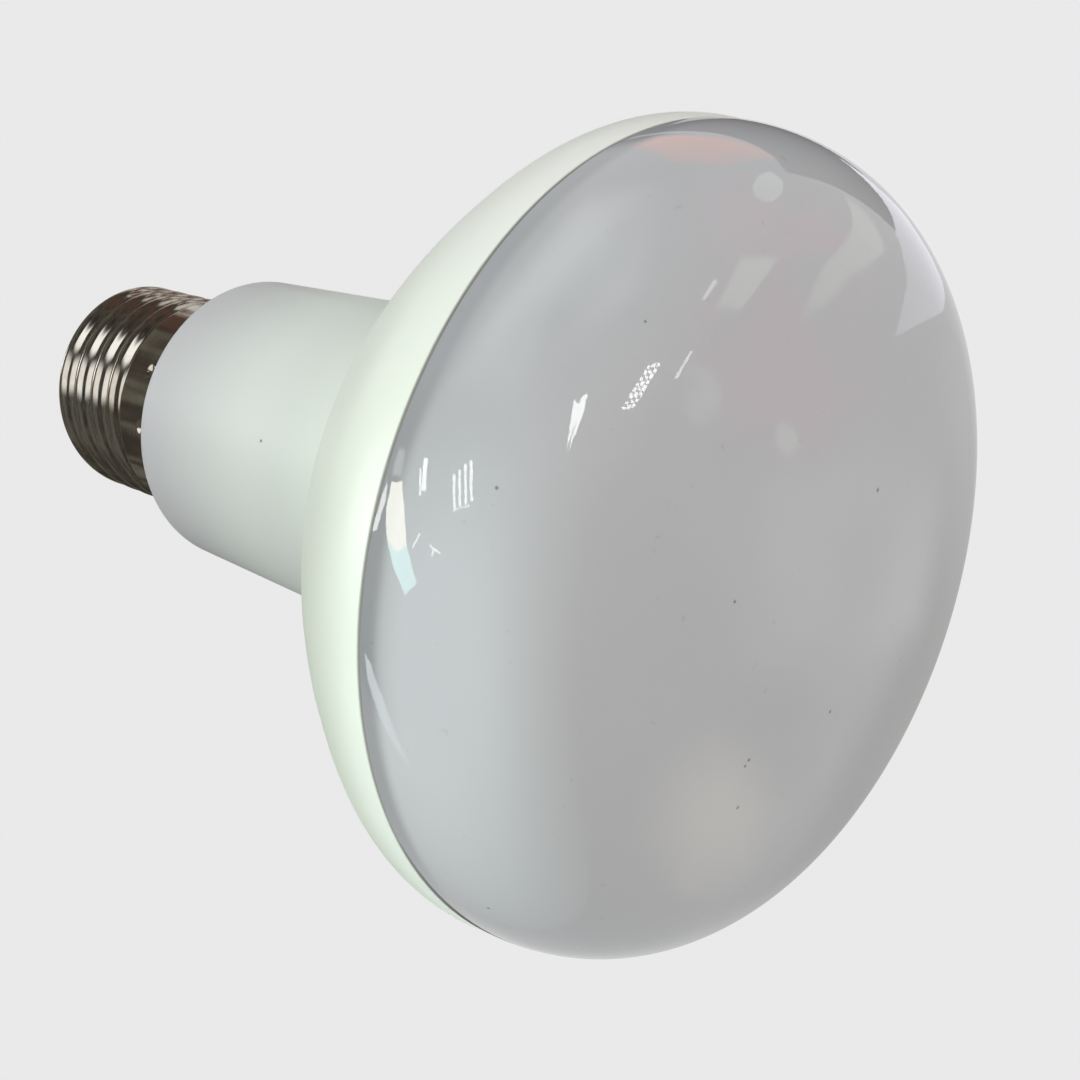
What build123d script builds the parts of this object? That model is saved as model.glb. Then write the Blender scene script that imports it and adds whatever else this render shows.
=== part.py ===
from build123d import *
import os
from math import asin, degrees

os.makedirs("parts", exist_ok=True)

# The lamp stands on its dome: heights run from the dome's apex up to the centre contact.

# Dome
rim_d = 79.4
dome_rise = 18.35
dome_fullness = 0.812
spigot_d = 75.0
spigot_len = 2.4

# Bowl and neck
rim_bulge = 0.9
crease_rise = 11.0
crease_d = 72.4
crease_lean = 0.62
side_pull = 4.4
back_sagitta = 1.3
bowl_rise = 29.4
neck_wide_d = 35.9
neck_narrow_d = 33.9
neck_len = 35.55
neck_root_r = 2.0
neck_edge_r = 0.9
shoulder_rise = 2.1
shoulder_d = 26.8
seam_chamfer = 0.25

# Screw cap
skirt_d = 26.3
skirt_edge_r = 0.4
crest_d = 26.2
root_d = 24.2
pitch = 3.629
skirt_len = 8.3
thread_len = 15.1
thread_phase = 83.0
sections_per_pitch = 8
shell_end_round = 1.2
bore_d = 23.0
dimple_count = 12
dimple_phase = 5.0
dimple_r = 1.1
dimple_depth = 0.3
dimple_rise = 3.7
insulator_tip_d = 12.6
insulator_rise = 3.0
insulator_plug = 3.0
contact_d = 10.4
contact_t = 1.8
contact_edge_r = 0.7
stem_d = 4.0
stem_len = 4.5

# Clearances
seat_clear = 0.1
bore_clear = 0.05

# Heights
seam_z = dome_rise + seam_chamfer
crease_z = seam_z + crease_rise
neck_z = seam_z + bowl_rise
edge_z = neck_z + neck_len
ledge_z = edge_z + shoulder_rise
thread_z = ledge_z + skirt_len
shell_z = thread_z + thread_len
plug_z = shell_z - insulator_plug
tip_z = shell_z + insulator_rise
contact_z = tip_z + contact_t


def turned(edges, rounds=()):
    outline = make_face(edges)
    for r, z, radius in rounds:
        corner = outline.vertices().sort_by_distance((r, z, 0))[0]
        outline = fillet(corner, radius)
    return revolve(Plane.XZ * outline, Axis.Z)


def save(piece, node):
    piece.label = node
    export_step(piece, f"parts/{node}.step")


# Diffuser: a broad crown arc runs into a full edge arc, flush with the bowl at the seam, and a spigot seats in the bowl
rim_r = rim_d / 2
spigot_r = spigot_d / 2
edge_r = dome_fullness * dome_rise
crown_r = ((rim_r - edge_r) ** 2 + dome_rise**2 - edge_r**2) / (2 * (dome_rise - edge_r))
crown_sweep = degrees(asin((rim_r - edge_r) / (crown_r - edge_r)))
diffuser = turned(
    [
        CenterArc((0, crown_r), crown_r, -90, crown_sweep),
        CenterArc((rim_r - edge_r, dome_rise), edge_r, crown_sweep - 90, 90 - crown_sweep),
        Polyline(
            (rim_r, dome_rise),
            (rim_r - seam_chamfer, seam_z),
            (spigot_r, seam_z),
            (spigot_r, seam_z + spigot_len),
            (0, seam_z + spigot_len),
            (0, 0),
        ),
    ]
)
save(diffuser, "diffuser")

# Housing: the bowl's side and back meet at a faint crease, and the neck runs up to a sloping shoulder
crease_r = crease_d / 2
wide_r = neck_wide_d / 2
narrow_r = neck_narrow_d / 2
core_r = bore_d / 2 - bore_clear
seat_r = spigot_r + seat_clear
side_line = Bezier(
    (rim_r, seam_z + seam_chamfer),
    (rim_r + rim_bulge, seam_z + side_pull),
    (crease_r + crease_lean * side_pull, crease_z - side_pull),
    (crease_r, crease_z),
)
back_line = SagittaArc((crease_r, crease_z), (wide_r, neck_z), -back_sagitta)
housing = turned(
    [
        side_line,
        back_line,
        Polyline(
            (wide_r, neck_z),
            (narrow_r, edge_z),
            (shoulder_d / 2, ledge_z),
            (core_r, ledge_z),
            (core_r, plug_z),
            (0, plug_z),
            (0, seam_z + spigot_len + seat_clear),
            (seat_r, seam_z + spigot_len + seat_clear),
            (seat_r, seam_z),
            (rim_r - seam_chamfer, seam_z),
            (rim_r, seam_z + seam_chamfer),
        ),
    ],
    [(wide_r, neck_z, neck_root_r), (narrow_r, edge_z, neck_edge_r)],
)
save(housing, "housing")

# Screw shell: circles set off the axis, and turned once round it in each pitch, carry the rounded thread
crest_r = crest_d / 2
root_r = root_d / 2
skirt_r = skirt_d / 2
end_r = skirt_r - shell_end_round
lead_in = pitch / 2
sweep_len = thread_len + lead_in
section_count = round(sweep_len / pitch * sections_per_pitch)
sections = []
for i in range(section_count + 1):
    below_end = sweep_len * (1 - i / section_count)
    crest_angle = thread_phase - 360 * below_end / pitch
    centre = Vector((crest_r - root_r) / 2, 0, shell_z - below_end).rotate(Axis.Z, crest_angle)
    sections.append(Pos(centre) * Circle((crest_r + root_r) / 2))
thread = loft(sections, ruled=True)
rolled_end = turned(
    [Polyline((0, ledge_z), (skirt_r, ledge_z), (skirt_r, shell_z), (0, shell_z), (0, ledge_z))],
    [(skirt_r, shell_z, shell_end_round)],
)
skirt = turned(
    [Polyline((0, ledge_z), (skirt_r, ledge_z), (skirt_r, thread_z), (0, thread_z), (0, ledge_z))],
    [(skirt_r, thread_z, skirt_edge_r)],
)
bore = Pos(0, 0, ledge_z) * Cylinder(bore_d / 2, shell_z - ledge_z, align=(Align.CENTER, Align.CENTER, Align.MIN))
screw_shell = (thread & rolled_end) + skirt - bore
dimple = Pos(skirt_r + dimple_r - dimple_depth, 0, ledge_z + dimple_rise) * Sphere(dimple_r)
for i in range(dimple_count):
    screw_shell -= Rot(0, 0, dimple_phase + 360 * i / dimple_count) * dimple
save(screw_shell, "screw_shell")

# Insulator and centre contact
tip_r = insulator_tip_d / 2
stem_r = stem_d / 2
cap_insulator = turned(
    [
        Polyline(
            (stem_r + bore_clear, plug_z),
            (core_r, plug_z),
            (core_r, shell_z),
            (end_r - bore_clear, shell_z),
            (tip_r, tip_z),
            (stem_r + bore_clear, tip_z),
            (stem_r + bore_clear, plug_z),
        )
    ]
)
save(cap_insulator, "cap_insulator")

contact_r = contact_d / 2
centre_contact = turned(
    [
        Polyline(
            (0, tip_z - stem_len),
            (stem_r, tip_z - stem_len),
            (stem_r, tip_z),
            (contact_r, tip_z),
            (contact_r, contact_z),
            (0, contact_z),
            (0, tip_z - stem_len),
        )
    ],
    [(contact_r, contact_z, contact_edge_r)],
)
save(centre_contact, "centre_contact")
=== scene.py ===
import bpy
import bmesh
from math import asin, atan2, cos, hypot, pi, radians, sin, sqrt, tau
from mathutils import Matrix, Vector
from mathutils.bvhtree import BVHTree
from mathutils.geometry import interpolate_bezier


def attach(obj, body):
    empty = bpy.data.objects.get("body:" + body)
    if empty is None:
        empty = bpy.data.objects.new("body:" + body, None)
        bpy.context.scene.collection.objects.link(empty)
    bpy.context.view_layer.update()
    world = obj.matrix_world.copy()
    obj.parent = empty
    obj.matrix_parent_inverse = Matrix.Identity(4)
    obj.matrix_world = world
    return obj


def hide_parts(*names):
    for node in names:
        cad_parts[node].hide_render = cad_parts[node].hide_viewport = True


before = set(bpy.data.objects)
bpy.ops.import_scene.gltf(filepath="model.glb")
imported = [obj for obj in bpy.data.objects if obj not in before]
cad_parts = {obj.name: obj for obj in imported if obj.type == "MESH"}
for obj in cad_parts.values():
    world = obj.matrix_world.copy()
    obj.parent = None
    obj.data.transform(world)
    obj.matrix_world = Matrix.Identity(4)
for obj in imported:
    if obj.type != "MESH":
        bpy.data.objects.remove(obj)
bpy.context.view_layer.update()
scene = bpy.context.scene
scene.view_settings.view_transform = "Standard"
mm = 0.001
print("frame loaded:", ", ".join(sorted(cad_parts)))

# camera: close to the dome, looking up past the rim to the cap, as in the photograph
cameraSet = {
    "place": (-7.706, -123.13, -68.91),  # millimetres
    "right": (0.3329, 0.6107, -0.7185),
    "up": (0.943, -0.2156, 0.2537),
    "lens": 52.8,
    "shiftX": 0.0176,
    "shiftY": 0.0385,
    "sensor": 36.0,
    "photoSide": 1080,  # pixels of the photograph's square frame
    "near": 0.01,
    "far": 20,
}
camera = bpy.data.objects.new("photoCamera", bpy.data.cameras.new("photoCamera"))
scene.collection.objects.link(camera)
scene.camera = camera
camera.data.sensor_width = cameraSet["sensor"]
camera.data.lens = cameraSet["lens"]
camera.data.shift_x = cameraSet["shiftX"]
camera.data.shift_y = cameraSet["shiftY"]
camera.data.clip_start = cameraSet["near"]
camera.data.clip_end = cameraSet["far"]
cameraRight = Vector(cameraSet["right"]).normalized()
cameraBack = cameraRight.cross(Vector(cameraSet["up"])).normalized()
cameraUp = cameraBack.cross(cameraRight)
cameraTurn = Matrix((cameraRight, cameraUp, cameraBack)).transposed().to_4x4()
cameraPlace = Vector(cameraSet["place"]) * mm
camera.matrix_world = Matrix.Translation(cameraPlace) @ cameraTurn
print("camera set")

mixSockets = {"first": 6, "second": 7, "result": 2}  # a Mix node's places for colours


# shader maths: a wire carries one socket, and an expression on wires adds its nodes
class Wire:
    def __init__(self, tree, socket=None):
        self.tree = tree
        self.socket = socket

    def node(self, kind, settings=None, inputs=None, output=0):
        made = self.tree.nodes.new(kind)
        for name, value in (settings or {}).items():
            setattr(made, name, value)
        for name, value in (inputs or {}).items():
            if isinstance(value, Wire):
                self.tree.links.new(value.socket, made.inputs[name])
            else:
                made.inputs[name].default_value = value
        return Wire(self.tree, made.outputs[output])

    def math(self, operation, first, second=0.0):
        return self.node("ShaderNodeMath", {"operation": operation}, {0: first, 1: second})

    def __add__(self, other):
        return self.math("ADD", self, other)

    def __mul__(self, other):
        return self.math("MULTIPLY", self, other)

    def __radd__(self, other):
        return self.math("ADD", other, self)

    def __rsub__(self, other):
        return self.math("SUBTRACT", other, self)

    def between(self, low, high):  # 0 below low, 1 above high, smooth between
        return self.node(
            "ShaderNodeMapRange",
            {"interpolation_type": "SMOOTHSTEP"},
            {"Value": self, "From Min": low, "From Max": high},
        )

    def blend(self, first, second):  # this value mixes two colours
        feeds = {"Factor": self, mixSockets["first"]: first, mixSockets["second"]: second}
        return self.node("ShaderNodeMix", {"data_type": "RGBA"}, feeds, mixSockets["result"])

    def noise(self, scale, detail=3.0, rough=0.5):  # this vector places the pattern
        feeds = {"Vector": self, "Scale": scale, "Detail": detail, "Roughness": rough}
        return self.node("ShaderNodeTexNoise", {}, feeds)

    def stretched(self, scale):
        return self.node("ShaderNodeMapping", {}, {"Vector": self, "Scale": scale})

    def distanceTo(self, point):
        return self.node("ShaderNodeVectorMath", {"operation": "DISTANCE"}, {0: self, 1: point}, "Value")


def newFinish(name):
    finish = bpy.data.materials.new(name)
    finish.use_nodes = True
    shader = finish.node_tree.nodes["Principled BSDF"]
    start = Wire(finish.node_tree)
    place = start.node("ShaderNodeTexCoord", output="Object")
    return finish, shader, place


def plug(shader, **feeds):
    for name, value in feeds.items():
        socket = shader.inputs[name.replace("_", " ")]
        if isinstance(value, Wire):
            value.tree.links.new(value.socket, socket)
        else:
            socket.default_value = value


def axisOf(place, axis):
    return place.node("ShaderNodeSeparateXYZ", {}, {"Vector": place}, axis)


def heightOf(place):
    return axisOf(place, "Z")


def bumpOf(height, strength, distance):
    feeds = {"Height": height, "Strength": strength, "Distance": distance}
    return height.node("ShaderNodeBump", {}, feeds)


speckCore = 0.2  # share of a speck's size that is fully dark


def specksAt(place, specks):  # 1 on each speck, 0 elsewhere
    total = None
    for x, y, z, size in specks:
        far = place.distanceTo((x * mm, y * mm, z * mm))
        mark = 1 - far.between(size * mm * speckCore, size * mm)
        total = mark if total is None else total + mark
    return total


# white moulding: greenish ivory on the bowl, its green partly painted bounce light; painted shade makes one
# side of the bowl more neutral and darker and the neck cooler and darker, darkest towards the cap; with
# smudges
whiteSet = {
    # greenish ivory, the green partly painted bounce light
    "bowl": (0.775, 0.86, 0.74, 1),
    "bowlShadedSide": (0.75, 0.77, 0.72, 1),
    # painted shade: the neck darker and cooler than the bowl
    "neck": (0.665, 0.728, 0.672, 1),
    # painted shade: the neck darker still towards the cap
    "neckShadedEnd": (0.53, 0.54, 0.545, 1),
    "smudge": (0.66, 0.67, 0.63, 1),
    "speck": (0.12, 0.11, 0.1, 1),
    # painted shade in the seam's groove, with dust
    "seam": (0.20, 0.19, 0.17, 1),
    "shadedSide": (-0.005, 0.03),  # metres along X over which the bowl turns to its painted shade, more neutral and darker
    "neckStart": (0.046, 0.060),  # heights in metres where the bowl's painted bounce light gives way to the neck's painted shade
    # heights in metres over which the neck's painted shade deepens towards the cap
    "neckFade": (0.062, 0.084),
    "seamLine": (0.01870, 0.01886),  # painted shade in the groove where the dome is seated, with dust
    "smudgeNoise": {"scale": 38, "detail": 5, "rough": 0.62},
    "smudgeRange": (0.56, 0.78),
    "smudgeShare": 0.16,
    "cloudNoise": {"scale": 70, "detail": 4},
    "grainNoise": {"scale": 2600, "detail": 2},
    "grainBump": 0.06,
    "grainDepth": 0.0001,
    "roughLow": 0.34,
    "roughSpread": 0.14,
    "ior": 1.46,
    "specks": [(-2.92, -17.34, 60.84, 0.26)],  # millimetres, the size last
}
whitePlastic, shader, place = newFinish("whitePlastic")
cloud = place.noise(**whiteSet["cloudNoise"])
grain = place.noise(**whiteSet["grainNoise"])
# painted shade on one side of the bowl and along the neck, painted bounce light up the neck's foot
shadedSide = axisOf(place, "X").between(*whiteSet["shadedSide"])
bowlTone = shadedSide.blend(whiteSet["bowl"], whiteSet["bowlShadedSide"])
neckTone = heightOf(place).between(*whiteSet["neckFade"]).blend(whiteSet["neck"], whiteSet["neckShadedEnd"])
toned = heightOf(place).between(*whiteSet["neckStart"]).blend(bowlTone, neckTone)
smudges = place.noise(**whiteSet["smudgeNoise"]).between(*whiteSet["smudgeRange"])
smudged = (smudges * whiteSet["smudgeShare"]).blend(toned, whiteSet["smudge"])
marked = specksAt(place, whiteSet["specks"]).blend(smudged, whiteSet["speck"])
# painted shade with dust along the seam
lined = heightOf(place).between(*whiteSet["seamLine"]).blend(whiteSet["seam"], marked)
plug(
    shader,
    Base_Color=lined,
    Roughness=whiteSet["roughLow"] + cloud * whiteSet["roughSpread"],
    Normal=bumpOf(grain, whiteSet["grainBump"], whiteSet["grainDepth"]),
    IOR=whiteSet["ior"],
)

# opal dome: glossy, cool where it meets the bowl, with the dust that the photograph shows
# painted shade darkens the dome along its rim and in the seam's groove
opalSet = {
    "crown": (0.42, 0.415, 0.415, 1),
    "side": (0.42, 0.435, 0.44, 1),
    "haze": (0.47, 0.46, 0.465, 1),
    "dust": (0.10, 0.095, 0.09, 1),
    # painted shade: the dome darker along its rim
    "rimShade": (0.345, 0.36, 0.365, 1),
    # painted shade in the seam's groove, with dust
    "seam": (0.16, 0.16, 0.155, 1),
    "sideStart": (0.003, 0.012),  # heights in metres
    "rimStart": (0.0158, 0.0172),
    "seamLine": (0.01842, 0.01852),
    "cloudNoise": {"scale": 45, "detail": 3},
    "hazeRange": (0.42, 0.72),
    "hazeShare": 0.35,
    "dustNoise": {"scale": 900, "detail": 2},
    "dustRange": (0.70, 0.80),
    "dustShare": 0.12,
    "speckShare": 0.85,
    "waveNoise": {"scale": 60, "detail": 1},
    "rippleNoise": {"scale": 1400, "detail": 1},
    "rippleShare": 0.05,
    "waveBump": 0.12,
    "waveDepth": 0.0004,
    "roughLow": 0.012,
    "roughSpread": 0.03,
    "ior": 1.49,
    "specks": [  # millimetres, the size last
        (-1.8, -36.85, 9.65, 0.22),
        (-3.5, -14.8, 1.1, 0.22),
        (-15.65, -4.2, 1.25, 0.26),
        (-16.25, -4.3, 1.35, 0.22),
        (-20.0, -2.15, 1.95, 0.26),
        (-9.5, 5.2, 0.55, 0.26),
        (10.25, -0.1, 0.5, 0.30),
        (-34.6, -17.0, 12.65, 0.26),
        (13.85, -30.85, 6.5, 0.17),
    ],
}
opalPlastic, shader, place = newFinish("opalPlastic")
cloud = place.noise(**opalSet["cloudNoise"])
wave = place.noise(**opalSet["waveNoise"])
ripple = place.noise(**opalSet["rippleNoise"])
toned = heightOf(place).between(*opalSet["sideStart"]).blend(opalSet["crown"], opalSet["side"])
hazed = (cloud.between(*opalSet["hazeRange"]) * opalSet["hazeShare"]).blend(toned, opalSet["haze"])
# painted shade along the rim
rimmed = heightOf(place).between(*opalSet["rimStart"]).blend(hazed, opalSet["rimShade"])
dust = place.noise(**opalSet["dustNoise"]).between(*opalSet["dustRange"])
dusted = (dust * opalSet["dustShare"]).blend(rimmed, opalSet["dust"])
marked = (specksAt(place, opalSet["specks"]) * opalSet["speckShare"]).blend(dusted, opalSet["dust"])
# painted shade with dust along the seam
lined = heightOf(place).between(*opalSet["seamLine"]).blend(marked, opalSet["seam"])
plug(
    shader,
    Base_Color=lined,
    Roughness=opalSet["roughLow"] + cloud * opalSet["roughSpread"],
    Normal=bumpOf(wave + ripple * opalSet["rippleShare"], opalSet["waveBump"], opalSet["waveDepth"]),
    IOR=opalSet["ior"],
)

# nickel: bright plating with faint turned lines and brown tarnish
nickelSet = {
    "plate": (0.63, 0.61, 0.57, 1),
    "warm": (0.48, 0.43, 0.37, 1),
    "tarnish": (0.20, 0.13, 0.10, 1),
    "turnStretch": (40, 40, 900),
    "turnNoise": {"scale": 4, "detail": 3},
    "turnBump": 0.07,
    "turnDepth": 0.0001,
    "cloudNoise": {"scale": 160, "detail": 4, "rough": 0.6},
    "warmRange": (0.40, 0.75),
    "tarnishNoise": {"scale": 90, "detail": 5, "rough": 0.65},
    "tarnishRange": (0.58, 0.74),
    "tarnishShare": 0.6,
    "roughLow": 0.07,
    "roughSpread": 0.10,
}
nickel, shader, place = newFinish("nickel")
turnLines = place.stretched(nickelSet["turnStretch"]).noise(**nickelSet["turnNoise"])
cloud = place.noise(**nickelSet["cloudNoise"])
toned = cloud.between(*nickelSet["warmRange"]).blend(nickelSet["plate"], nickelSet["warm"])
tarnish = place.noise(**nickelSet["tarnishNoise"]).between(*nickelSet["tarnishRange"])
marked = (tarnish * nickelSet["tarnishShare"]).blend(toned, nickelSet["tarnish"])
plug(
    shader,
    Base_Color=marked,
    Metallic=1.0,
    Roughness=nickelSet["roughLow"] + cloud * nickelSet["roughSpread"],
    Normal=bumpOf(turnLines, nickelSet["turnBump"], nickelSet["turnDepth"]),
)

# black insulator: glossy moulding with flow marks
insulatorSet = {
    "black": (0.018, 0.018, 0.02, 1),
    "flow": (0.05, 0.048, 0.046, 1),
    "flowNoise": {"scale": 240, "detail": 4, "rough": 0.6},
    "flowRange": (0.45, 0.75),
    "flowBump": 0.08,
    "flowDepth": 0.0002,
    "roughLow": 0.14,
    "roughSpread": 0.2,
}
blackInsulator, shader, place = newFinish("blackInsulator")
flow = place.noise(**insulatorSet["flowNoise"])
plug(
    shader,
    Base_Color=flow.between(*insulatorSet["flowRange"]).blend(insulatorSet["black"], insulatorSet["flow"]),
    Roughness=insulatorSet["roughLow"] + flow * insulatorSet["roughSpread"],
    Normal=bumpOf(flow, insulatorSet["flowBump"], insulatorSet["flowDepth"]),
)

# contact: soft bright metal, rubbed round by the holder's spring
contactSet = {
    "metal": (0.66, 0.64, 0.60, 1),
    "rubbed": (0.48, 0.45, 0.41, 1),
    "rubStretch": (900, 120, 400),
    "rubNoise": {"scale": 2, "detail": 4},
    "rubRange": (0.45, 0.70),
    "rubBump": 0.15,
    "rubDepth": 0.0001,
    "roughLow": 0.24,
    "roughSpread": 0.2,
}
contactMetal, shader, place = newFinish("contactMetal")
rub = place.stretched(contactSet["rubStretch"]).noise(**contactSet["rubNoise"])
plug(
    shader,
    Base_Color=rub.between(*contactSet["rubRange"]).blend(contactSet["metal"], contactSet["rubbed"]),
    Metallic=1.0,
    Roughness=contactSet["roughLow"] + rub * contactSet["roughSpread"],
    Normal=bumpOf(rub, contactSet["rubBump"], contactSet["rubDepth"]),
)
print("finishes made")

# what the pieces' meshes share
meshSet = {
    "mergeGap": 1e-7,  # metres
    "sharpAngle": 32,  # degrees
    "columns": 288,
    "roundCuts": 8,
}


def showPiece(name, bm, finish, node, sharpAngle=meshSet["sharpAngle"]):
    bmesh.ops.remove_doubles(bm, verts=bm.verts[:], dist=meshSet["mergeGap"])
    bmesh.ops.recalc_face_normals(bm, faces=bm.faces[:])
    mesh = bpy.data.meshes.new(name)
    bm.to_mesh(mesh)
    bm.free()
    mesh.materials.append(finish)
    mesh.shade_smooth()
    mesh.set_sharp_from_angle(angle=radians(sharpAngle))
    piece = bpy.data.objects.new(name, mesh)
    scene.collection.objects.link(piece)
    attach(piece, "root")
    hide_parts(node)


def outlineMesh(points, closed=False):  # points are radius and height in millimetres
    bm = bmesh.new()
    line = [bm.verts.new((r * mm, 0, z * mm)) for r, z in points]
    for first, second in zip(line, line[1:]):
        bm.edges.new((first, second))
    if closed:
        bm.edges.new((line[-1], line[0]))
    return bm, line


def roundCorners(bm, corners, segments=meshSet["roundCuts"]):  # a corner is a vertex and its round's reach
    for corner, reach in corners:
        bmesh.ops.bevel(
            bm,
            geom=[corner],
            offset=reach * mm,
            offset_type="OFFSET",
            segments=segments,
            profile=0.5,
            affect="VERTICES",
            material=-1,
        )


def turn(bm, steps=meshSet["columns"]):
    bmesh.ops.spin(
        bm,
        geom=bm.verts[:] + bm.edges[:],
        cent=(0, 0, 0),
        axis=(0, 0, 1),
        dvec=(0, 0, 0),
        angle=tau,
        steps=steps,
        use_merge=True,
    )


def arcLine(centre, radius, start, sweep, count):
    points = []
    for i in range(count + 1):
        angle = start + sweep * i / count
        points.append((centre[0] + radius * cos(angle), centre[1] + radius * sin(angle)))
    return points


def bowedLine(first, last, bow, count):  # a shallow bow between two points, fullest halfway
    first, last = Vector(first), Vector(last)
    along = last - first
    outward = Vector((along.y, -along.x)).normalized()
    points = []
    for i in range(count + 1):
        t = i / count
        points.append(tuple(first + along * t + outward * bow * 4 * t * (1 - t)))
    return points


# heights and sizes shared by the pieces, in millimetres
lampSet = {
    "rimR": 39.7,
    "domeRise": 18.35,
    "seamZ": 18.6,
    "neckZ": 48.0,
    "edgeZ": 83.55,
    "ledgeZ": 85.65,
    "threadZ": 93.95,
    "shellZ": 109.05,
    "plugZ": 106.05,
    "tipZ": 112.05,
    "contactZ": 113.85,
    "spigotR": 37.5,
    "spigotTop": 21.0,
    "coreR": 11.45,
    "chamfer": 0.25,
}

# dome: a broad crown arc runs into a full edge arc, flush with the bowl at the seam
domeSet = {"fullness": 0.812, "crownCuts": 28, "edgeCuts": 40}
edgeR = domeSet["fullness"] * lampSet["domeRise"]
ringR = lampSet["rimR"] - edgeR
crownR = (ringR**2 + lampSet["domeRise"] ** 2 - edgeR**2) / (2 * (lampSet["domeRise"] - edgeR))
crownSweep = asin(ringR / (crownR - edgeR))
domeLine = arcLine((0, crownR), crownR, -pi / 2, crownSweep, domeSet["crownCuts"])
domeLine += arcLine(
    (ringR, lampSet["domeRise"]), edgeR, crownSweep - pi / 2, pi / 2 - crownSweep, domeSet["edgeCuts"]
)[1:]
domeLine += [
    (lampSet["rimR"] - lampSet["chamfer"], lampSet["seamZ"]),
    (lampSet["spigotR"], lampSet["seamZ"]),
    (lampSet["spigotR"], lampSet["spigotTop"]),
    (0, lampSet["spigotTop"]),
]
bm = outlineMesh(domeLine)[0]
turn(bm)
domeTree = BVHTree.FromBMesh(bm)
showPiece("opalDome", bm, opalPlastic, "diffuser")

# housing: bowl side, faint crease, bowl back, neck and sloping shoulder in one moulding
housingSet = {  # millimetres
    "rimBulge": 0.875,  # a little under the solid's, to stay inside its box
    "creaseR": 36.2,
    "creaseZ": 29.6,
    "creaseLean": 0.62,
    "sidePull": 4.4,
    "backBow": 1.3,
    "neckWideR": 17.95,
    "neckNarrowR": 16.95,
    "shoulderR": 13.4,
    "sideCuts": 28,
    "backCuts": 22,
    "rootReach": 0.8,
    "edgeReach": 0.55,
    "seatGap": 0.1,
}
rimFoot = (lampSet["rimR"], lampSet["seamZ"] + lampSet["chamfer"])
crease = (housingSet["creaseR"], housingSet["creaseZ"])
sideLine = interpolate_bezier(
    Vector(rimFoot),
    Vector((rimFoot[0] + housingSet["rimBulge"], lampSet["seamZ"] + housingSet["sidePull"])),
    Vector(
        (
            crease[0] + housingSet["creaseLean"] * housingSet["sidePull"],
            crease[1] - housingSet["sidePull"],
        )
    ),
    Vector(crease),
    housingSet["sideCuts"],
)
seatR = lampSet["spigotR"] + housingSet["seatGap"]
seatZ = lampSet["spigotTop"] + housingSet["seatGap"]
housingLine = [(0, seatZ), (seatR, seatZ), (seatR, lampSet["seamZ"])]
housingLine += [(lampSet["rimR"] - lampSet["chamfer"], lampSet["seamZ"])]
housingLine += [tuple(point) for point in sideLine]
neckFootAt = (housingSet["neckWideR"], lampSet["neckZ"])
housingLine += bowedLine(crease, neckFootAt, housingSet["backBow"], housingSet["backCuts"])[1:]
neckFoot = len(housingLine) - 1
housingLine += [
    (housingSet["neckNarrowR"], lampSet["edgeZ"]),
    (housingSet["shoulderR"], lampSet["ledgeZ"]),
    (lampSet["coreR"], lampSet["ledgeZ"]),
    (lampSet["coreR"], lampSet["plugZ"]),
    (0, lampSet["plugZ"]),
]
bm, line = outlineMesh(housingLine)
roundCorners(bm, [(line[neckFoot + 1], housingSet["edgeReach"]), (line[neckFoot], housingSet["rootReach"])])
turn(bm)
showPiece("lampHousing", bm, whitePlastic, "housing")

# screw shell: rolled thread, plain skirt and a ring of staking dimples
shellSet = {  # millimetres
    "skirtR": 13.15,
    "skirtRound": 0.4,
    "crestR": 13.1,
    "rootR": 12.1,
    "pitch": 3.629,
    "phase": radians(83.0),  # where the crest stands at the shell's end
    "endRound": 1.2,
    "boreR": 11.5,
    "dimples": 12,
    "dimplePhase": radians(5.0),
    "dimpleR": 1.1,
    "dimpleDepth": 0.3,
    "dimpleZ": 89.35,
    "rows": 200,
    "columns": 360,
    "sharpAngle": 50,  # degrees
    "outerGap": 0.01,  # how near to the skirt's radius the outer wall starts
}
quarter = shellSet["pitch"] / 4
threadDepth = shellSet["crestR"] - shellSet["rootR"]
threadArc = (quarter**2 + threadDepth**2 / 4) / threadDepth  # crests and roots are arcs of this radius


def threadRadius(z, angle):
    turns = (lampSet["shellZ"] - z) / shellSet["pitch"] + (angle - shellSet["phase"]) / tau
    away = abs(turns - round(turns)) * shellSet["pitch"]  # distance from the nearest crest
    if away < quarter:
        return shellSet["crestR"] - threadArc + sqrt(threadArc**2 - away**2)
    return shellSet["rootR"] + threadArc - sqrt(threadArc**2 - (2 * quarter - away) ** 2)


def shellRadius(z, angle):
    s = shellSet
    radius = threadRadius(z, angle)
    roundZ = lampSet["threadZ"] - s["skirtRound"]
    if z <= roundZ:
        radius = s["skirtR"]
    elif z <= lampSet["threadZ"]:
        skirtEdge = s["skirtR"] - s["skirtRound"] + sqrt(max(0, s["skirtRound"] ** 2 - (z - roundZ) ** 2))
        radius = max(radius, skirtEdge)
    endZ = lampSet["shellZ"] - s["endRound"]
    if z > endZ:
        rolled = s["skirtR"] - s["endRound"] + sqrt(max(0, s["endRound"] ** 2 - (z - endZ) ** 2))
        radius = min(radius, rolled)
    spacing = tau / s["dimples"]
    across = ((angle - s["dimplePhase"] + spacing / 2) % spacing - spacing / 2) * s["skirtR"]
    offset = across**2 + (z - s["dimpleZ"]) ** 2
    if offset < s["dimpleR"] ** 2 - (s["dimpleR"] - s["dimpleDepth"]) ** 2:
        radius = s["skirtR"] + s["dimpleR"] - s["dimpleDepth"] - sqrt(s["dimpleR"] ** 2 - offset)
    return radius


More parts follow.
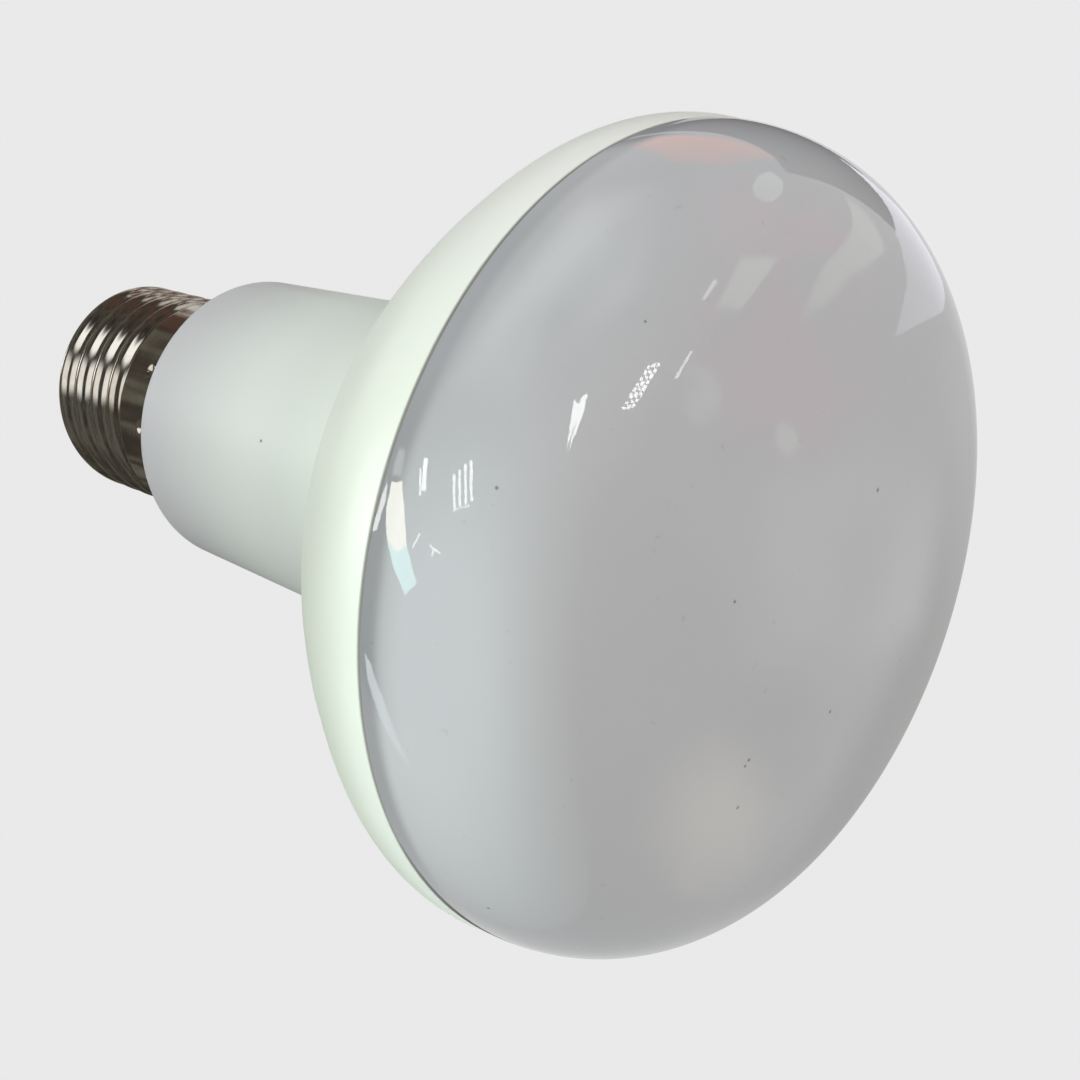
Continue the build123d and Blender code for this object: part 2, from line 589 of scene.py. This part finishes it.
bm, line = outlineMesh(
    [
        (shellSet["skirtR"], lampSet["ledgeZ"]),
        (shellSet["skirtR"], lampSet["shellZ"]),
        (shellSet["boreR"], lampSet["shellZ"]),
        (shellSet["boreR"], lampSet["ledgeZ"]),
    ],
    closed=True,
)
bmesh.ops.subdivide_edges(bm, edges=[line[0].link_edges[0]], cuts=shellSet["rows"])
turn(bm, shellSet["columns"])
for vert in bm.verts:
    if hypot(vert.co.x, vert.co.y) > (shellSet["skirtR"] - shellSet["outerGap"]) * mm:
        angle = atan2(vert.co.y, vert.co.x)
        radius = shellRadius(vert.co.z / mm, angle) * mm
        vert.co.x = radius * cos(angle)
        vert.co.y = radius * sin(angle)
showPiece("screwShell", bm, nickel, "screw_shell", shellSet["sharpAngle"])

# insulator cone and the contact riveted through it
capSet = {  # millimetres
    "coneR": 11.9,
    "tipR": 6.3,
    "tipReach": 0.35,
    "stemR": 2.0,
    "stemGap": 0.05,
    "stemFoot": 107.55,
    "contactR": 5.2,
    "contactReach": 0.7,
    "tipCuts": 5,
    "roundedPoint": 4,  # which point of each outline is rounded
    "columns": 192,
}
holeR = capSet["stemR"] + capSet["stemGap"]
bm, line = outlineMesh(
    [
        (holeR, lampSet["plugZ"]),
        (lampSet["coreR"], lampSet["plugZ"]),
        (lampSet["coreR"], lampSet["shellZ"]),
        (capSet["coneR"], lampSet["shellZ"]),
        (capSet["tipR"], lampSet["tipZ"]),
        (holeR, lampSet["tipZ"]),
    ],
    closed=True,
)
roundCorners(bm, [(line[capSet["roundedPoint"]], capSet["tipReach"])], capSet["tipCuts"])
turn(bm, capSet["columns"])
showPiece("capInsulator", bm, blackInsulator, "cap_insulator")

bm, line = outlineMesh(
    [
        (0, capSet["stemFoot"]),
        (capSet["stemR"], capSet["stemFoot"]),
        (capSet["stemR"], lampSet["tipZ"]),
        (capSet["contactR"], lampSet["tipZ"]),
        (capSet["contactR"], lampSet["contactZ"]),
        (0, lampSet["contactZ"]),
    ]
)
roundCorners(bm, [(line[capSet["roundedPoint"]], capSet["contactReach"])])
turn(bm, capSet["columns"])
showPiece("contactRivet", bm, contactMetal, "centre_contact")
print("pieces made")


# stage: cards and panels for the reflections, a pale floor that shows from above only, and soft lamps
def glow(name, colour, strength, shape=None):  # shape takes the place on the card and gives 0 to 1
    finish = bpy.data.materials.new(name)
    finish.use_nodes = True
    tree = finish.node_tree
    tree.nodes.clear()
    start = Wire(tree)
    light = start.node("ShaderNodeEmission", {}, {"Color": (*colour, 1), "Strength": strength})
    if shape:
        clear = start.node("ShaderNodeBsdfTransparent")
        place = start.node("ShaderNodeTexCoord", output="Object")
        light = start.node("ShaderNodeMixShader", {}, {0: shape(place), 1: clear, 2: light})
    output = tree.nodes.new("ShaderNodeOutputMaterial")
    tree.links.new(light.socket, output.inputs["Surface"])
    return finish


def stagePiece(name, bm, finish, glossyOnly=True):
    mesh = bpy.data.meshes.new(name)
    bm.to_mesh(mesh)
    bm.free()
    mesh.materials.append(finish)
    piece = bpy.data.objects.new(name, mesh)
    scene.collection.objects.link(piece)
    if glossyOnly:
        piece.visible_camera = False
        piece.visible_diffuse = False
        piece.visible_transmission = False
        piece.visible_shadow = False


def direction(azimuth, elevation):
    a, e = radians(azimuth), radians(elevation)
    return Vector((cos(a) * cos(e), sin(a) * cos(e), sin(e)))


# where a point lies that the dome mirrors at this pixel of the photograph
def mirrorPoint(pixel, distance):
    half = cameraSet["photoSide"] / 2
    across = ((pixel[0] - half) / cameraSet["photoSide"] + cameraSet["shiftX"]) * cameraSet["sensor"]
    above = ((half - pixel[1]) / cameraSet["photoSide"] + cameraSet["shiftY"]) * cameraSet["sensor"]
    ray = (cameraRight * across + cameraUp * above - cameraBack * cameraSet["lens"]).normalized()
    hit = domeTree.ray_cast(cameraPlace, ray)[0]
    radius = hypot(hit.x, hit.y) / mm
    if radius < crownR * sin(crownSweep):
        normal = hit - Vector((0, 0, crownR * mm))
    else:
        normal = hit - Vector((hit.x * ringR / radius, hit.y * ringR / radius, lampSet["domeRise"] * mm))
    return hit + ray.reflect(normal.normalized()) * distance


# what the panels share: metres from the dome, unless one names its own, and the strokes' colour
mirrorSet = {"distance": 0.8, "cloudDetail": 4, "strokeColour": (1, 1, 1)}


def cloudy(scale, low, high, core):  # irregular patches that fade towards the panel's edge
    def shape(place):
        inward = place.node("ShaderNodeAttribute", {"attribute_name": "inward"}, {}, "Fac")
        return inward.between(0, core) * place.noise(scale, mirrorSet["cloudDetail"]).between(low, high)

    return shape


def glint(name, pixels, colour, strength, distance=mirrorSet["distance"], cloud=None):
    bm = bmesh.new()
    inward = bm.verts.layers.float.new("inward")  # 0 on the corners, 1 in the middle
    corners = [bm.verts.new(mirrorPoint(pixel, distance)) for pixel in pixels]
    if cloud:
        middlePixel = sum((Vector(pixel) for pixel in pixels), Vector((0, 0))) / len(pixels)
        middle = bm.verts.new(mirrorPoint(middlePixel, distance))
        middle[inward] = 1
        for first, second in zip(corners, corners[1:] + corners[:1]):
            bmesh.ops.contextual_create(bm, geom=[first, second, middle])
    else:
        bmesh.ops.contextual_create(bm, geom=corners)
        bmesh.ops.triangulate(bm, faces=bm.faces[:])
    shape = cloudy(**cloud) if cloud else None
    stagePiece(name, bm, glow(name, colour, strength, shape))


def stroke(name, first, last, width, strength):  # a straight glint between two pixels
    along = (Vector(last) - Vector(first)).normalized()
    side = Vector((-along.y, along.x)) * width / 2
    ends = [Vector(first) - side, Vector(first) + side, Vector(last) + side, Vector(last) - side]
    glint(name, ends, mirrorSet["strokeColour"], strength)


# panels: the window, the lamps and the soft shapes of a room, cornered by where the photograph shows them
panelSet = {
    "windowGlint": {
        "pixels": [
            (836, 156), (862, 177), (886, 205), (895, 233), (904, 262), (907, 284), (902, 310), (895, 338),
            (918, 325), (938, 314), (945, 302), (942, 281), (933, 260), (919, 236), (902, 212), (877, 187),
        ],
        "colour": (0.94, 0.92, 1.0),
        "strength": 1.55,
    },
    "tallGlint": {
        "pixels": [(392, 482), (402, 482), (404, 505), (407, 545), (398, 552), (387, 540), (386, 510)],
        "colour": (1.0, 1.0, 0.87),
        "strength": 12,
    },
    "coolGlint": {
        "pixels": [(398, 552), (407, 545), (411, 562), (417, 584), (405, 595), (395, 572), (387, 540)],
        "colour": (0.66, 1.0, 0.96),
        "strength": 10.5,
    },
    "seamGlint": {
        "pixels": [(388, 482), (386, 500), (377, 530), (374, 532), (381, 505)],
        "colour": (1, 1, 1),
        "strength": 9,
    },
    "slashGlint": {
        "pixels": [
            (574, 399), (581, 397), (588, 393), (585, 408), (576, 432),
            (568, 452), (566, 450), (576, 420), (579, 403),
        ],
        "colour": (1, 1, 1),
        "strength": 13,
    },
    "beigeGlint": {
        "pixels": [(616, 150), (650, 136), (700, 134), (745, 141), (786, 162), (727, 168), (665, 165)],
        "colour": (1.0, 0.46, 0.37),
        "strength": 1.75,
        "cloud": {"scale": 6.0, "low": 0.1, "high": 0.4, "core": 0.3},
    },
    "wedgeGlint": {
        "pixels": [
            (365, 652), (371, 664), (384, 700), (400, 742), (410, 765), (396, 748), (378, 712), (368, 680),
        ],
        "colour": (0.88, 1.0, 1.0),
        "strength": 5.0,
    },
    "hazeGlint": {
        "pixels": [(391, 480), (393, 464), (399, 446), (407, 448), (404, 466), (402, 480)],
        "colour": (0.95, 1.0, 0.98),
        "strength": 3.0,
        "cloud": {"scale": 14.0, "low": 0.1, "high": 0.4, "core": 0.4},
    },
    "leafGlint": {
        "pixels": [
            (836, 186), (864, 206), (888, 246), (872, 266), (848, 282), (828, 312), (796, 326), (844, 240),
        ],
        "colour": (0.98, 1.0, 0.92),
        "strength": 1.55,
        "cloud": {"scale": 12.0, "low": 0.1, "high": 0.45, "core": 0.3},
    },
    "paleGlint": {
        "pixels": [(738, 254), (782, 254), (758, 290), (738, 316), (710, 312)],
        "colour": (0.95, 1.0, 0.90),
        "strength": 2.2,
        "cloud": {"scale": 12.0, "low": 0.1, "high": 0.45, "core": 0.3},
    },
    "patchGlint": {
        "pixels": [(690, 362), (718, 370), (726, 400), (710, 434), (686, 428), (678, 395)],
        "colour": (1.0, 0.97, 0.98),
        "strength": 1.7,
        "cloud": {"scale": 14.0, "low": 0.2, "high": 0.5, "core": 0.4},
    },
    "dotGlint": {
        "pixels": [(776, 418), (796, 423), (802, 446), (788, 461), (771, 446)],
        "colour": (0.97, 1.0, 0.94),
        "strength": 1.7,
        "cloud": {"scale": 14.0, "low": 0.2, "high": 0.5, "core": 0.4},
    },
    "roomGlint": {
        "pixels": [
            (640, 190), (700, 170), (790, 178), (850, 215), (890, 300),
            (905, 420), (820, 500), (700, 480), (645, 330),
        ],
        "colour": (1.0, 0.55, 0.70),
        "strength": 1.25,
        "distance": 1.0,
        "cloud": {"scale": 4.0, "low": 0.30, "high": 0.60, "core": 0.5},
    },
    "upperGlint": {
        "pixels": [
            (428, 420), (455, 350), (515, 262), (592, 181), (664, 172), (660, 290), (590, 370), (500, 440),
        ],
        "colour": (0.96, 0.98, 1.0),
        "strength": 3.2,
        "distance": 0.95,
        "cloud": {"scale": 1.0, "low": 0.35, "high": 0.62, "core": 0.6},
    },
    "sideGlint": {
        "pixels": [
            (723, 449), (800, 415), (905, 390), (950, 480), (930, 640), (850, 720), (740, 700), (690, 600),
        ],
        "colour": (1.0, 0.98, 1.0),
        "strength": 1.25,
        "distance": 1.0,
        "cloud": {"scale": 1.5, "low": 0.1, "high": 0.45, "core": 0.6},
    },
    "lowerGlint": {
        "pixels": [(710, 690), (776, 738), (798, 808), (758, 882), (685, 905), (622, 845), (632, 752)],
        "colour": (1.0, 0.94, 0.82),
        "strength": 1.7,
        "distance": 0.9,
        "cloud": {"scale": 3.0, "low": 0.05, "high": 0.45, "core": 0.9},
    },
}
for name, panel in panelSet.items():
    glint(name, **panel)

roundSet = {"middle": (768, 187), "radius": 15, "corners": 20, "colour": (1, 1, 1), "strength": 1.9}
roundPixels = arcLine(roundSet["middle"], roundSet["radius"], 0, tau, roundSet["corners"])[1:]
glint("roundGlint", roundPixels, roundSet["colour"], roundSet["strength"])

# strokes: thin reflections, each between two pixels of the photograph
strokeSet = {
    "smallGlint0": {"first": (426, 459), "last": (424, 478), "width": 4.2, "strength": 15},
    "smallGlint1": {"first": (424.5, 476), "last": (423.5, 491), "width": 4.6, "strength": 13},
    "smallGlint2": {"first": (420.5, 468), "last": (420, 496), "width": 1.8, "strength": 13},
    "slatFoot": {"first": (453, 511), "last": (470, 505), "width": 2.2, "strength": 10},
    "dashGlint": {"first": (420, 534), "last": (412, 548), "width": 1.6, "strength": 11},
    "hairGlint": {"first": (692, 351), "last": (676, 378), "width": 2.6, "strength": 7},
    "chipGlint": {"first": (715, 281), "last": (703, 300), "width": 4.0, "strength": 4.5},
}
for name, mark in strokeSet.items():
    stroke(name, **mark)

slatSet = {
    "count": 4,
    "top": Vector((454, 475)),
    "topStep": Vector((5.7, -4.7)),
    "foot": Vector((454.5, 509)),
    "footStep": Vector((5.8, -2.3)),
    "width": 2.6,
    "strength": 13,
}
for i in range(slatSet["count"]):
    top = slatSet["top"] + slatSet["topStep"] * i
    foot = slatSet["foot"] + slatSet["footStep"] * i
    stroke("slat" + str(i), top, foot, slatSet["width"], slatSet["strength"])

starSet = {"middle": (434, 550), "feet": [(441, 554), (432, 557), (430, 545)], "width": 1.8, "strength": 12}
for i, foot in enumerate(starSet["feet"]):
    stroke("star" + str(i), starSet["middle"], foot, starSet["width"], starSet["strength"])

gridSet = {
    "rows": 8,
    "columns": 3,
    "corner": Vector((660, 362)),
    "rowStep": Vector((-3.6, 5.9)),
    "columnStep": Vector((-5, 1.2)),
    "mark": Vector((-1.6, 3.6)),
    "width": 3.2,
    "strength": 14,
}
for row in range(gridSet["rows"]):
    for column in range(gridSet["columns"]):
        spot = gridSet["corner"] + gridSet["rowStep"] * row + gridSet["columnStep"] * column
        name = "grid" + str(row) + str(column)
        stroke(name, spot, spot + gridSet["mark"], gridSet["width"], gridSet["strength"])

# cards: pieces of spheres round the dome or the cap, spanning elevations and a sweep of azimuth in degrees
cardMesh = {"rows": 10, "columns": 48}
patchSet = {"detail": 4, "range": (0.44, 0.56)}
domeMiddle = Vector((0, 0, 0.02))
capMiddle = Vector((0, 0, 0.1))
cardSet = {
    "softBox": {
        "middle": domeMiddle, "radius": 1.0, "low": -85, "high": 42, "start": -215, "sweep": 230,
        "colour": (0.87, 1.0, 0.985), "strength": 4.6,
        "fall": (0.50, 0.62), "centre": (-0.75, -0.62, -0.1), "reach": (0.30, 1.35),
    },
    "rimCard": {
        "middle": domeMiddle, "radius": 1.3, "low": 23, "high": 50, "start": -150, "sweep": 172,
        "colour": (0.05, 0.03, 0.04), "strength": 1.0, "rise": (0.55, 0.78),
    },
    "lipCard": {
        "middle": domeMiddle, "radius": 1.2, "low": 22, "high": 50, "start": -85, "sweep": 107,
        "colour": (0.64, 0.62, 0.66), "strength": 1.0, "fade": 24,
    },
    "browCard": {
        "middle": domeMiddle, "radius": 1.15, "low": 18, "high": 50, "start": -28, "sweep": 50,
        "colour": (0.92, 0.90, 0.93), "strength": 1.0, "fade": 14,
    },
    "footCard": {
        "middle": domeMiddle, "radius": 0.97, "low": 11, "high": 50, "start": -160, "sweep": 52,
        "colour": (0.05, 0.04, 0.045), "strength": 1.0, "rise": (0.22, 0.80), "fade": 14,
    },
    "backCard": {
        "middle": domeMiddle, "radius": 1.3, "low": -22, "high": 45, "start": 66, "sweep": 54,
        "colour": (0.50, 0.49, 0.48), "strength": 1.0, "rise": (-0.42, -0.09), "fade": 22,
    },
    "rightCard": {
        "middle": domeMiddle, "radius": 1.3, "low": -4, "high": 50, "start": 24, "sweep": 29,
        "colour": (0.06, 0.03, 0.045), "strength": 1.0,
    },
    "capHigh": {
        "middle": domeMiddle, "radius": 1.4, "low": 50, "high": 90, "start": -260, "sweep": 350,
        "colour": (0.11, 0.10, 0.08), "strength": 1.0,
    },
    "capSpark": {
        "middle": domeMiddle, "radius": 1.0, "low": 76, "high": 88, "start": -120, "sweep": 60,
        "colour": (1, 1, 1), "strength": 3.0,
    },
    "capRing": {
        "middle": capMiddle, "radius": 0.0825, "low": -60, "high": 50, "start": -260, "sweep": 252,
        "colour": (0.070, 0.064, 0.048), "strength": 1.0,
    },
    "capShade": {
        "middle": capMiddle, "radius": 0.0818, "low": -60, "high": 24, "start": -260, "sweep": 252,
        "colour": (0.030, 0.022, 0.018), "strength": 1.0, "patches": 90,
    },
    "capSkirt": {
        "middle": capMiddle, "radius": 0.0818, "low": 24, "high": 50, "start": -260, "sweep": 252,
        "colour": (0.15, 0.14, 0.11), "strength": 1.0,
    },
    "capStreak": {
        "middle": capMiddle, "radius": 0.0810, "low": 24, "high": 50, "start": -260, "sweep": 252,
        "colour": (0.05, 0.04, 0.032), "strength": 1.0, "patches": 70,
    },
    "capRust": {
        "middle": capMiddle, "radius": 0.0802, "low": 28, "high": 46, "start": -26, "sweep": 20,
        "colour": (0.36, 0.12, 0.08), "strength": 0.3,
    },
    "capPale": {
        "middle": capMiddle, "radius": 0.0825, "low": -60, "high": 60, "start": -8, "sweep": 108,
        "colour": (1.0, 0.95, 0.88), "strength": 0.7,
    },
    "capBrown": {
        "middle": capMiddle, "radius": 0.0788, "low": -60, "high": 60, "start": -34, "sweep": 134,
        "colour": (0.10, 0.055, 0.04), "strength": 1.0, "patches": 90,
    },
    "stripWide": {
        "middle": capMiddle, "radius": 0.0780, "low": -52, "high": -10, "start": -80, "sweep": 32,
        "colour": (1.0, 0.98, 0.94), "strength": 1.45, "fade": 10,
    },
    "stripTall": {
        "middle": capMiddle, "radius": 0.0780, "low": -30, "high": 33, "start": -120, "sweep": 40,
        "colour": (1.0, 0.98, 0.94), "strength": 1.2, "fade": 12,
    },
    "stripDim": {
        "middle": capMiddle, "radius": 0.0780, "low": -22, "high": 14, "start": -179, "sweep": 70,
        "colour": (1.0, 0.88, 0.68), "strength": 0.10, "fade": 25,
    },
}


def cardShape(card):  # the card shows where each of its masks is 1
    def shape(place):
        masks = []
        if "fall" in card:  # heights in metres between which it ends
            masks.append(1 - heightOf(place).between(*card["fall"]))
        if "rise" in card:  # heights in metres between which it starts
            masks.append(heightOf(place).between(*card["rise"]))
        if "reach" in card:  # distances in metres from a centre between which it ends
            masks.append(1 - place.distanceTo(card["centre"]).between(*card["reach"]))
        if "patches" in card:  # scale of irregular patches
            masks.append(place.noise(card["patches"], patchSet["detail"]).between(*patchSet["range"]))
        if "fade" in card:  # degrees of azimuth over which each end fades
            first, last = radians(card["start"]), radians(card["start"] + card["sweep"])
            bearing = place.math("ARCTAN2", axisOf(place, "Y"), axisOf(place, "X"))
            masks.append(bearing.between(first, first + radians(card["fade"])))
            masks.append(1 - bearing.between(last - radians(card["fade"]), last))
        total = masks[0]
        for mask in masks[1:]:
            total = total * mask
        return total

    masked = {"fall", "rise", "reach", "patches", "fade"} & set(card)
    return shape if masked else None


def ringCard(name, card):
    bm = bmesh.new()
    previous = None
    for i in range(cardMesh["rows"] + 1):
        elevation = card["low"] + (card["high"] - card["low"]) * i / cardMesh["rows"]
        vert = bm.verts.new(card["middle"] + direction(card["start"], elevation) * card["radius"])
        if previous:
            bm.edges.new((previous, vert))
        previous = vert
    bmesh.ops.spin(
        bm,
        geom=bm.verts[:] + bm.edges[:],
        cent=card["middle"],
        axis=(0, 0, 1),
        dvec=(0, 0, 0),
        angle=radians(card["sweep"]),
        steps=cardMesh["columns"],
        use_merge=False,
    )
    stagePiece(name, bm, glow(name, card["colour"], card["strength"], cardShape(card)))


for name, card in cardSet.items():
    ringCard(name, card)

# floor: pale paint near the lamp, running out into the backdrop
worldSet = {"ambient": (0.40, 0.405, 0.41, 1), "backdrop": (0.82, 0.82, 0.82, 1)}
floorSet = {"size": 6.0, "colour": (0.80, 0.80, 0.79, 1), "rough": 0.9, "runOut": (0.12, 0.9)}
floorFinish = bpy.data.materials.new("paleFloor")
floorFinish.use_nodes = True
tree = floorFinish.node_tree
tree.nodes.clear()
start = Wire(tree)
place = start.node("ShaderNodeTexCoord", output="Object")
away = place.distanceTo((0, 0, 0)).between(*floorSet["runOut"])
paint = start.node("ShaderNodeBsdfDiffuse", {}, {"Color": floorSet["colour"], "Roughness": floorSet["rough"]})
distant = start.node("ShaderNodeEmission", {}, {"Color": worldSet["backdrop"]})
ground = start.node("ShaderNodeMixShader", {}, {0: away, 1: paint, 2: distant})
fromAbove = 1 - start.node("ShaderNodeNewGeometry", output="Backfacing")
seen = start.node("ShaderNodeLightPath", output="Is Camera Ray") * fromAbove
clear = start.node("ShaderNodeBsdfTransparent")
mixed = start.node("ShaderNodeMixShader", {}, {0: seen, 1: clear, 2: ground})
output = tree.nodes.new("ShaderNodeOutputMaterial")
tree.links.new(mixed.socket, output.inputs["Surface"])
bm = bmesh.new()
bmesh.ops.create_grid(bm, x_segments=1, y_segments=1, size=floorSet["size"] / 2)
stagePiece("floor", bm, floorFinish, glossyOnly=False)

world = bpy.data.worlds.new("studio")
scene.world = world
world.use_nodes = True
tree = world.node_tree
tree.nodes.clear()
start = Wire(tree)
rays = tree.nodes.new("ShaderNodeLightPath")
shown = Wire(tree, rays.outputs["Is Camera Ray"]) + Wire(tree, rays.outputs["Is Glossy Ray"])
shown = shown + Wire(tree, rays.outputs["Is Transmission Ray"])
skyColour = shown.blend(worldSet["ambient"], worldSet["backdrop"])
sky = start.node("ShaderNodeBackground", {}, {"Color": skyColour})
output = tree.nodes.new("ShaderNodeOutputWorld")
tree.links.new(sky.socket, output.inputs["Surface"])

# lamps: soft discs round the lamp, the strongest in front of the dome and below
discSet = {"middle": Vector((0, 0, 0.04)), "distance": 1.0, "size": 0.7, "colour": (1, 1, 1)}
lightSet = {  # degrees and watts
    "keyLamp": {"azimuth": -87, "elevation": -46, "power": 5.5},
    "faceLamp": {"azimuth": -90, "elevation": -5, "power": 1.3},
    "leftLamp": {"azimuth": -125, "elevation": 42, "power": 0.9},
    "topLamp": {"azimuth": -60, "elevation": 70, "power": 3.4},
    "sideLamp": {"azimuth": 10, "elevation": 20, "power": 1.4},
    "lowLamp": {"azimuth": 60, "elevation": -25, "power": 2.5},
    "backLamp": {"azimuth": 150, "elevation": 25, "power": 1.8},
}


def softLamp(name, azimuth, elevation, power):
    data = bpy.data.lights.new(name, "AREA")
    data.shape = "DISK"
    data.size = discSet["size"]
    data.energy = power
    data.color = discSet["colour"]
    lamp = bpy.data.objects.new(name, data)
    toward = direction(azimuth, elevation)
    turnTo = toward.to_track_quat("Z", "Y").to_matrix().to_4x4()
    lamp.matrix_world = Matrix.Translation(discSet["middle"] + toward * discSet["distance"]) @ turnTo
    lamp.visible_camera = False
    lamp.visible_glossy = False
    scene.collection.objects.link(lamp)


for name, light in lightSet.items():
    softLamp(name, **light)
print("stage and lamps set")
